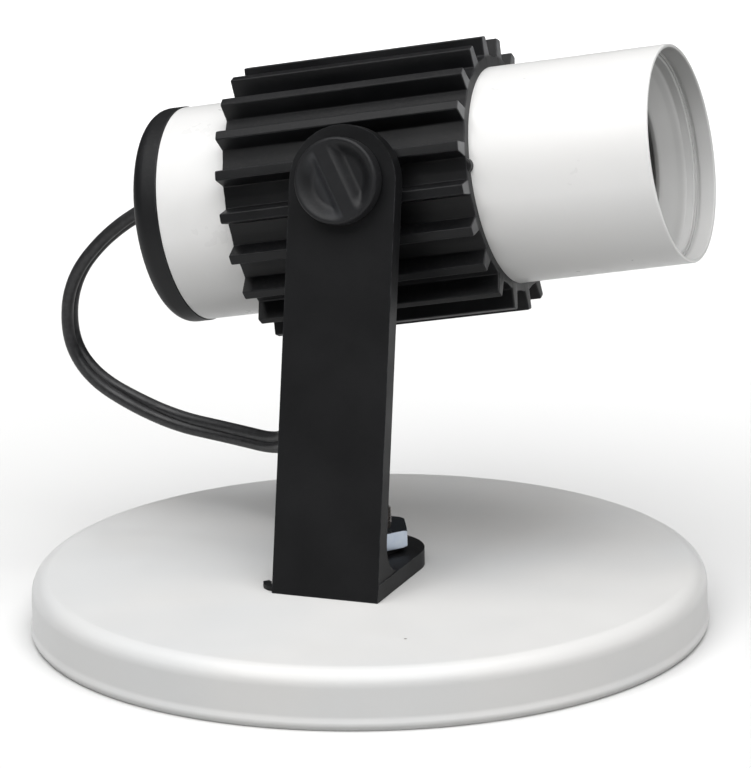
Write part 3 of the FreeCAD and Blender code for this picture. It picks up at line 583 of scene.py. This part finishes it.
def glazed_ceramic():
    """Off-white glazed ceramic."""
    recipe = Recipe("glazed_ceramic", 0.2)
    recipe.shader.inputs["Coat Weight"].default_value = 0.4
    cloud = recipe.noise(300, 3)
    colour = recipe.mix(recipe.span(cloud, 0.35, 0.65, 0, 1), (0.76, 0.74, 0.68), (0.82, 0.81, 0.76))
    recipe.bump(cloud, 0.04, 0.3)
    return recipe.done(colour, recipe.span(cloud, 0.3, 0.7, 0.14, 0.3))


def plain_brass():
    """Turned brass, slightly tarnished."""
    recipe = Recipe("plain_brass", 0.3, 1.0)
    tarnish = recipe.noise(500, 4, 0.6)
    colour = recipe.mix(recipe.span(tarnish, 0.4, 0.7, 0, 1), (0.72, 0.54, 0.24), (0.46, 0.34, 0.16))
    recipe.bump(tarnish, 0.02, 0.3)
    return recipe.done(colour, recipe.span(tarnish, 0.3, 0.7, 0.22, 0.45))


def terminal_moulding():
    """Cream moulded plastic of the terminal block."""
    recipe = Recipe("terminal_moulding", 0.5)
    cloud = recipe.noise(250, 3)
    colour = recipe.mix(recipe.span(cloud, 0.35, 0.65, 0, 1), (0.66, 0.62, 0.53), (0.74, 0.71, 0.63))
    recipe.bump(cloud, 0.03, 0.3)
    return recipe.done(colour, recipe.span(cloud, 0.3, 0.7, 0.42, 0.58))


def pale_floor():
    """Matt, nearly white studio floor."""
    recipe = Recipe("pale_floor", 0.9)
    cloud = recipe.noise(3, 3)
    colour = recipe.mix(recipe.span(cloud, 0.3, 0.7, 0, 1), (0.755, 0.755, 0.755), (0.785, 0.785, 0.78))
    return recipe.done(colour)


ARM_BLACK = black_moulding("arm_black", (0.0038, 0.0040, 0.0046), (0.0054, 0.0056, 0.0064), 0.42, 0.54)
# fins' ends get a painted highlight, with painted shade on the lower ones
FIN_BLACK = black_moulding("fin_black", (0.0040, 0.0042, 0.0048), (0.0066, 0.0068, 0.0077), 0.36, 0.50,
                           highlit_ends=HEAD_AXIS)
# knob with a painted reflection beside its bar
KNOB_BLACK = black_moulding("knob_black", (0.0078, 0.0081, 0.0092), (0.011, 0.0113, 0.0125), 0.42, 0.55,
                            bar_sheen=True)
CAP_BLACK = black_moulding("cap_black", (0.0052, 0.0054, 0.0062), (0.0078, 0.008, 0.0088), 0.40, 0.52)
# base cover; grey_from=0.5 greys its side too, as painted shade
WHITE_METAL = white_paint("white_metal", (0.68, 0.685, 0.685), (0.705, 0.70, 0.69), 0.30, 0.42, 0.03,
                          grey_from=0.5)
WHITE_TUBE = white_paint("white_tube", (0.735, 0.735, 0.73), (0.76, 0.755, 0.745), 0.26, 0.36, 0.006)
# painted shade in the groove, the step, the cone and the throat
SHADED_STRETCHES = [(GROOVE - 0.4, GROOVE + 0.9, 0.35), (SHOULDER - 2.2, SHOULDER - 0.2, 0.38),
          (THROAT, SHOULDER - 2.2, 0.25), (HOLDER_FACE, THROAT, 0.75)]
# darker copy of the white for inside the shade: painted shade; grey=0.95 darkens the mouth's top further
SHADED_WHITE = white_paint("shaded_white", (0.60, 0.60, 0.595), (0.64, 0.635, 0.625), 0.38, 0.5, 0.02,
                           SHADED_STRETCHES, grey=0.95)
ZINC = zinc_plate("blue_zinc", (0.56, 0.64, 0.76), (0.70, 0.76, 0.84))
DULL_PLATE = zinc_plate("dull_plate", (0.25, 0.225, 0.21), (0.34, 0.31, 0.29))
STEEL = rolled_steel()
RUBBER = black_rubber()
SHEATH = cord_sheath()
CERAMIC = glazed_ceramic()
BRASS = plain_brass()
CREAM = terminal_moulding()
SCREW_BLACK = black_moulding("screw_black", (0.012, 0.012, 0.013), (0.02, 0.02, 0.021), 0.28, 0.4)


# ---------------------------------------------------------------- camera
def make_camera():
    """Long lens, looking slightly down at the lamp from its mouth's side of the arm."""
    aim = Vector((2.55, 1.01, 68.73)) * MM
    azimuth = math.radians(21.66)
    elevation = math.radians(15.23)
    roll = math.radians(-1.065)
    distance = 1384.25 * MM
    back = Vector((math.sin(azimuth) * math.cos(elevation), -math.cos(azimuth) * math.cos(elevation),
                   math.sin(elevation)))
    level = Vector((math.cos(azimuth), math.sin(azimuth), 0))
    upright = back.cross(level)
    right = level * math.cos(roll) + upright * math.sin(roll)
    up = back.cross(right)
    data = bpy.data.cameras.new("camera")
    data.sensor_width = 36.0
    data.lens = 234.4
    data.clip_start = 0.05
    data.clip_end = 50.0
    camera = bpy.data.objects.new("camera", data)
    bpy.context.scene.collection.objects.link(camera)
    turn = Matrix((right, up, back)).transposed().to_4x4()
    camera.matrix_world = Matrix.Translation(aim + back * distance) @ turn
    bpy.context.scene.camera = camera


# ---------------------------------------------------------------- cord
def cord_line():
    """Points along the smooth line that the cord's route controls."""
    curve = bpy.data.curves.new("cord_route", "CURVE")
    curve.dimensions = "3D"
    spline = curve.splines.new("NURBS")
    spline.points.add(len(CORD_POINTS) - 1)
    for point, place in zip(spline.points, CORD_POINTS):
        point.co = (*(Vector(place) * MM), 1.0)
    spline.order_u = 3
    spline.use_endpoint_u = True
    spline.resolution_u = 14
    carrier = bpy.data.objects.new("cord_route", curve)
    bpy.context.scene.collection.objects.link(carrier)
    bpy.context.view_layer.update()
    line = bpy.data.meshes.new_from_object(carrier)
    points = [vertex.co.copy() for vertex in line.vertices]
    bpy.data.objects.remove(carrier)
    bpy.data.meshes.remove(line)
    return points


def twin_section(turn):
    """Outline of a flat twin cord: two round cores joined by a thinner web."""
    core = CORD_T / 2
    offset = CORD_W / 2 - core
    web = core * 0.62
    step = math.radians(19.0)
    outline = []
    for side in (1, -1):
        for k in range(-6, 7):
            angle = step * k
            across = offset + core * math.cos(angle)
            outline.append(Vector((side * across, side * core * math.sin(angle))))
        outline.append(Vector((0, side * web)))
    return [Matrix.Rotation(turn, 2) @ point for point in outline]


def flat_cord():
    """The lamp's cord, twisting along its length from edge-on to broadside."""
    line = cord_line()
    mesh = bmesh.new()
    rings = []
    side = Vector((0, 1, 0))
    last = len(line) - 1
    for i, point in enumerate(line):
        ahead = line[min(i + 1, last)] - line[max(i - 1, 0)]
        ahead.normalize()
        side = (side - ahead * side.dot(ahead)).normalized()
        over = ahead.cross(side)
        along = i / last
        first_twist = -15 * blend_step(along / 0.12)
        second_twist = 85 * blend_step((along - 0.2) / 0.3)
        turn = math.radians(25 + first_twist + second_twist)
        ring = []
        for offset in twin_section(turn):
            ring.append(mesh.verts.new(point + (side * offset.x + over * offset.y) * MM))
        rings.append(ring)
    ring_strip(mesh, rings, close_rings=False)
    mesh.faces.new(rings[0])
    mesh.faces.new(rings[-1])
    cord = smooth_object("flat_cord", mesh, SHEATH, 60)
    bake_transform(cord)
    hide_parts("lamp_cord")


make_camera()
flat_cord()


# ---------------------------------------------------------------- base
def base_cover():
    """Pressed white cover: soft top edge, slight bead round the bottom."""
    top_r = BASE_R - BASE_DRAFT
    under = BASE_H - BASE_WALL
    outline = rounded([
        (0, BASE_R - 0.6, 0.3), (BEAD_H / 2, BASE_R + BEAD_OUT, 1.5), (BEAD_H, top_r + 0.1, 2.5),
        (BASE_H, top_r, BASE_EDGE_R), (BASE_H, NIPPLE_HOLE_R, 0.2), (under, NIPPLE_HOLE_R, 0.1),
        (under, top_r - BASE_WALL, BASE_EDGE_R - BASE_WALL), (0, BASE_R - BASE_WALL, 0.3)], steps=9)
    mesh = lathe(outline, BASE_FRAME, axis="Z", steps=220)
    finish_piece("cover_shell", mesh, "base", WHITE_METAL, ["base_cover"])


def upright_ring(mesh, radii, z):
    """Ring of vertices about Z at height z, one for each of the radii."""
    ring = []
    for k, radius in enumerate(radii):
        turn = 2 * math.pi * k / len(radii)
        place = Vector((radius * math.cos(turn), radius * math.sin(turn), z))
        ring.append(mesh.verts.new(place * MM))
    return ring


def threaded_nipple():
    """Hollow nipple with its thread cut as one helix, faded out at both ends."""
    around = 96
    length = NIPPLE_TOP - NIPPLE_BOTTOM
    levels = int(length / (THREAD_PITCH / 10))
    bore = [NIPPLE_BORE_R] * around
    mesh = bmesh.new()
    rings = [upright_ring(mesh, bore, NIPPLE_BOTTOM)]
    for level in range(levels + 1):
        z = NIPPLE_BOTTOM + length * level / levels
        end_gap = min(z - NIPPLE_BOTTOM, NIPPLE_TOP - z)
        chamfer = max(0.0, NIPPLE_CHAMFER - end_gap)
        depth = THREAD_DEPTH * blend_step(end_gap / THREAD_FADE)
        radii = []
        for k in range(around):
            phase = (z / THREAD_PITCH - k / around) % 1.0
            radii.append(NIPPLE_R - depth * (1 - abs(2 * phase - 1)) - chamfer)
        rings.append(upright_ring(mesh, radii, z))
    rings.append(upright_ring(mesh, bore, NIPPLE_TOP))
    ring_strip(mesh, rings)
    finish_piece("threaded_nipple", mesh, "base", DULL_PLATE, ["nipple"], 50)


def base_hardware():
    """Nuts, washers and the fittings under the cover, with worked edges."""
    worked_copy("lock_nut_body", "lock_nut", 0.18, "base", ZINC)
    worked_copy("lower_nut_body", "lower_nut", 0.18, "base", ZINC)
    worked_copy("fibre_ring", "fibre_washer", 0.15, "base", RUBBER)
    worked_copy("inlet_ring", "inlet_grommet", 0.3, "base", RUBBER)
    worked_copy("ballast_plate", "mounting_plate", 0.2, "base", STEEL)
    worked_copy("ground_pad", "base_pad", 0.25, "base", RUBBER)


# ---------------------------------------------------------------- bracket and knob
def arm():
    """Arm and foot, edges softened as moulded, and the washer behind the knob."""
    worked_copy("side_arm", "arm_bracket", 0.45, "bracket", ARM_BLACK, segments=3)
    worked_copy("arm_ring", "arm_washer", 0.12, "bracket", ZINC)


def knob_depth(x, z):
    """How far the knob's face is scooped out at a point, in millimetres."""
    rim = blend_step((KNOB_R - KNOB_RIM - math.hypot(x, z)) / KNOB_RIM_SLOPE)
    flank = blend_step((abs(x) - KNOB_BAR_HALF) / KNOB_FLANK)
    return KNOB_POCKET * rim * flank


def knob_ring(mesh, around, radius, drop=None):
    """Ring of vertices at a radius, drop below the knob's face or in its scoops."""
    ring = []
    for k in range(around):
        turn = 2 * math.pi * k / around
        x = radius * math.cos(turn)
        z = radius * math.sin(turn)
        depth = knob_depth(x, z) if drop is None else drop
        place = Vector((x, depth - KNOB_T, z))
        ring.append(mesh.verts.new(KNOB_FRAME @ (place * MM)))
    return ring


def clamp_knob():
    """Round knob with a grip bar between two scooped pockets and a rounded rim."""
    around = 160
    step = 0.25
    face_rings = 44
    rim_and_back = [
        (KNOB_R - 0.7, 0.02), (KNOB_R - 0.35, 0.14), (KNOB_R - 0.1, 0.45), (KNOB_R, 0.95),
        (KNOB_R, KNOB_T - 0.3), (KNOB_R - 0.3, KNOB_T), (STUD_HOLE_R, KNOB_T)]
    mesh = bmesh.new()
    centre = mesh.verts.new(KNOB_FRAME @ (Vector((0, -KNOB_T, 0)) * MM))
    rings = []
    for i in range(face_rings):
        rings.append(knob_ring(mesh, around, step * (i + 1)))
    for radius, drop in rim_and_back:
        rings.append(knob_ring(mesh, around, radius, drop))
    ring_strip(mesh, rings, close_rings=False)
    for k in range(around):
        mesh.faces.new((centre, rings[0][(k + 1) % around], rings[0][k]))
    mesh.faces.new(rings[-1])
    finish_piece("grip_knob", mesh, "knob", KNOB_BLACK, ["clamp_knob"], 40)


# ---------------------------------------------------------------- lamp head
def fin_outline(inset):
    """Finned outline as (y, z) points, shrunk by inset; valleys face the arm."""
    step = 360.0 / FIN_COUNT
    tip_r = FIN_TIP_R - inset
    root_r = FIN_ROOT_R - inset
    tip_half = math.degrees(math.asin((FIN_TIP_W / 2 - inset) / FIN_TIP_R))
    root_half = math.degrees(math.asin((FIN_ROOT_W / 2 - inset) / FIN_ROOT_R))
    slope_r = root_r - 0.3
    valley_r = root_r - 0.4
    one_fin = [
        (root_r, -root_half, 0.5), (tip_r, -tip_half, 0.4), (tip_r, tip_half, 0.4),
        (root_r, root_half, 0.5), (slope_r, step * 0.42, 0), (valley_r, step * 0.5, 0),
        (slope_r, step * 0.58, 0)]
    corners = []
    for i in range(FIN_COUNT):
        for radius, angle, bend in one_fin:
            turn = math.radians((i + 0.5) * step + angle)
            corners.append((-radius * math.cos(turn), radius * math.sin(turn), bend))
    return rounded(corners, steps=3)


def fin_sleeve():
    """Finned sleeve: one outline drawn along the head, ends chamfered and out of square."""
    slant = math.tan(math.radians(SLEEVE_SLANT))
    length = SLEEVE_FRONT - SLEEVE_REAR
    near = 0.12
    shallow = FIN_CHAMFER * 0.35
    stations = [(0.0, FIN_CHAMFER), (near, shallow), (FIN_CHAMFER, 0.0), (length - FIN_CHAMFER, 0.0),
                (length - near, shallow), (length, FIN_CHAMFER)]
    mesh = bmesh.new()
    rings = []
    for along, inset in stations:
        ring = []
        for y, z in fin_outline(inset):
            place = Vector((SLEEVE_REAR + along - z * slant, y, z + SLEEVE_RISE))
            ring.append(mesh.verts.new(HEAD_FRAME @ (place * MM)))
        rings.append(ring)
    bore = TUBE_R + FIT
    for along in (length, 0.0):
        ring = []
        for y, z in fin_outline(FIN_CHAMFER):
            spot = Vector((y, z)).normalized() * bore
            place = Vector((SLEEVE_REAR + along - spot.y * slant, spot.x, spot.y))
            ring.append(mesh.verts.new(HEAD_FRAME @ (place * MM)))
        rings.append(ring)
    ring_strip(mesh, rings)
    finish_piece("finned_sleeve", mesh, "head", FIN_BLACK, ["fin_sleeve"], 30)


def front_lugs():
    """Two small round lugs at the sleeve's front edge, one on each side."""
    low = TUBE_R - 0.6
    top = FIN_ROOT_R - 0.6
    outline = rounded([(low, 0.1, 0), (low, LUG_R, 0), (top, LUG_R, 0.6), (top, 0.1, 0)])
    x = SLEEVE_FRONT - LUG_R + LUG_OUT
    for name, angle, z in (("lug_near", -90, LUG_Z), ("lug_far", 90, -LUG_Z)):
        place = HEAD_FRAME @ Matrix.Translation(Vector((x, 0, z)) * MM)
        turn = Matrix.Rotation(math.radians(angle), 4, "Z")
        finish_piece(name, lathe(outline, place @ turn, steps=48), "head", FIN_BLACK)


def pivot_boss():
    """Round boss that carries the head on the arm, flared into the sleeve."""
    root = -FIN_ROOT_R
    outline = rounded([(root + 1.5, BOSS_HOLE_R, 0), (root + 1.5, BOSS_R + 2.4, 0),
                       (root - 0.4, BOSS_R + 1.0, 0.8), (root - 1.6, BOSS_R, 1.2),
                       (-BOSS_END, BOSS_R, 0.5), (-BOSS_END, BOSS_HOLE_R, 0.2)])
    turn = Matrix.Rotation(math.radians(90), 4, "Z")
    mesh = lathe(outline, HEAD_FRAME @ turn, steps=96)
    finish_piece("pivot_boss", mesh, "head", FIN_BLACK)


def paint_shade_inside(piece, material):
    """Gives the shade's inner faces, from the middle of its wall inwards, the darker white of painted
    shade.
    """
    piece.data.materials.append(material)
    inward = HEAD_FRAME.inverted()
    middle_r = (TUBE_R - SHADE_WALL / 2) * MM
    for face in piece.data.polygons:
        centre = inward @ face.center
        if math.hypot(centre.y, centre.z) < middle_r:
            face.material_index = 1


def white_tubes():
    """Housing tube behind the fins, front shade before them."""
    inner = TUBE_R - TUBE_WALL
    outline = rounded([(TUBE_REAR, inner, 0.2), (TUBE_REAR, TUBE_R, 0.3), (TUBE_FRONT, TUBE_R, 0.3),
                       (TUBE_FRONT, inner, 0.2)])
    finish_piece("rear_tube", lathe(outline, HEAD_FRAME), "head", WHITE_TUBE,
                 ["housing_tube"])
    inner = TUBE_R - SHADE_WALL
    deep = inner + GROOVE_DEPTH
    narrow = inner - WALL_STEP
    outline = rounded([
        (SHADE_REAR, TUBE_R, 0.3), (SHADE_FRONT, TUBE_R, 0.45), (SHADE_FRONT, inner, 0.45),
        (GROOVE + 0.9, inner, 0.1), (GROOVE + 0.7, deep, 0), (GROOVE, deep, 0),
        (GROOVE, narrow, 0.15), (SHADE_REAR, narrow, 0.1)])
    shade = finish_piece("lamp_shade", lathe(outline, HEAD_FRAME, steps=180), "head", WHITE_TUBE,
                         ["front_shade"])
    # the shade's inner faces get the darker white of painted shade
    paint_shade_inside(shade, SHADED_WHITE)


def reflector_insert():
    """Insert inside the shade: plain land, soft step, shallow cone, throat and well."""
    outer = TUBE_R - SHADE_WALL - WALL_STEP - FIT
    front = GROOVE - 0.3
    well = HOLDER_FACE + 1.0
    below = well - WELL_WALL
    grip = HOLDER_R + 0.1
    well_outer = WELL_R + WELL_WALL
    outline = rounded([
        (front, outer, 0.1), (front, outer - 0.8, 0.6), (SHOULDER, outer - 1.0, 0.9),
        (SHOULDER - 1.9, outer - 2.9, 1.2), (THROAT, THROAT_R, 0.6), (THROAT - 1.2, THROAT_R, 0.5),
        (THROAT - 2.6, THROAT_R + 2.0, 0.8), (THROAT - 5.0, WELL_R, 1.2), (well, WELL_R, 1.5),
        (well, grip, 0.2), (below, grip, 0.2), (below, well_outer, 1.0),
        (THROAT - 5.2, well_outer, 0.6), (SHOULDER - 3.0, outer, 0.6)], steps=6)
    # the insert wears the darker white of painted shade
    finish_piece("shade_insert", lathe(outline, HEAD_FRAME, steps=180), "head", SHADED_WHITE,
                 ["reflector_insert"])


def cord_grip():
    """Ribbed rubber strain relief in the rear cap; its ribs get smaller towards the cord."""
    back = TUBE_REAR - CAP_LENGTH
    end = back - GLAND_OUT
    inside = back + 2.4
    latch = back + 4.2
    neck = 4.55
    ribs = 3
    pitch = (GLAND_OUT - 0.9) / ribs
    corners = [(latch, 0.4, 0), (latch, 4.8, 0.2), (inside, 5.6, 0.3), (inside, neck, 0),
               (back, neck, 0), (back, 6.2, 0.2), (back - 0.8, 5.9, 0.4)]
    for i in range(ribs):
        x = back - 0.8 - (i + 0.35) * pitch
        high = 5.1 - 0.35 * i
        root = high - 0.9
        corners += [(x, root, 0.1), (x - 0.35, root, 0.1), (x - 0.45, high, 0.2), (x - 1.0, high, 0.2)]
    corners += [(end, 3.9, 0.3), (end, 0.4, 0)]
    place = HEAD_FRAME @ Matrix.Translation((0, 0, GLAND_RISE * MM))
    mesh = lathe(rounded(corners, steps=3), place, steps=72)
    finish_piece("cord_grip", mesh, "head", RUBBER, ["cord_gland"], 40)


def head_hardware():
    """Cap, screws, holder and its strap with worked edges."""
    worked_copy("end_cap", "rear_cap", 0.2, "head", CAP_BLACK)
    worked_copy("cap_screw_pair", "cap_screws", 0.12, "head", SCREW_BLACK)
    worked_copy("holder_body", "lamp_holder", 0.25, "head", CERAMIC)
    worked_copy("holder_strap", "holder_bracket", 0.15, "head", STEEL)


base_cover()
threaded_nipple()
base_hardware()
arm()
clamp_knob()
fin_sleeve()
front_lugs()
pivot_boss()
white_tubes()
reflector_insert()
cord_grip()
head_hardware()

# ---------------------------------------------------------------- CAD nodes kept as they are
KEPT = {
    "plate_posts": STEEL, "plate_screws": ZINC, "terminal_block": CREAM, "terminal_screws": BRASS,
    "stiffener_washer": ZINC, "knob_stud": ZINC, "captive_nut": ZINC, "friction_washer": RUBBER,
    "holder_contacts": BRASS, "holder_screws": ZINC,
}


def dress(node, material):
    """Gives a CAD node that stays visible its finish."""
    data = NODES[node].data
    data.materials.clear()
    data.materials.append(material)


for node, material in KEPT.items():
    dress(node, material)


# ---------------------------------------------------------------- studio
def floor():
    """Large plain floor under the base, sized in metres."""
    half = 12.0
    data = bpy.data.meshes.new("studio_floor")
    corners = [(-half, -half, 0), (half, -half, 0), (half, half, 0), (-half, half, 0)]
    data.from_pydata(corners, [], [(0, 1, 2, 3)])
    data.materials.append(pale_floor())
    ground = bpy.data.objects.new("studio_floor", data)
    bpy.context.scene.collection.objects.link(ground)


def soft_light(name, place, size, watts, target=(0, 0, 0.07), spread=180):
    """Square soft box aimed at the target, its beam spread over so many degrees."""
    data = bpy.data.lights.new(name, "AREA")
    data.shape = "SQUARE"
    data.size = size
    data.energy = watts
    data.spread = math.radians(spread)
    light = bpy.data.objects.new(name, data)
    light.location = place
    aim = Vector(target) - Vector(place)
    light.rotation_euler = aim.to_track_quat("-Z", "Y").to_euler()
    bpy.context.scene.collection.objects.link(light)


def sky():
    """Even, dim surroundings."""
    world = bpy.data.worlds.new("studio")
    world.use_nodes = True
    background = world.node_tree.nodes["Background"]
    background.inputs["Color"].default_value = (1, 1, 1, 1)
    background.inputs["Strength"].default_value = 0.05
    bpy.context.scene.world = world


floor()
sky()
# places and sizes in metres, strengths in watts
soft_light("key_top", (0.10, -0.50, 1.6), 2.2, 53)
soft_light("right", (1.4, -0.2, 1.1), 0.6, 2.5)
soft_light("left", (-1.4, 0.1, 1.1), 0.6, 0.8)
soft_light("backdrop", (-0.30, 1.0, 0.9), 0.8, 6, target=(-0.30, 1.1, 0), spread=110)
bpy.context.scene.view_settings.view_transform = "Standard"
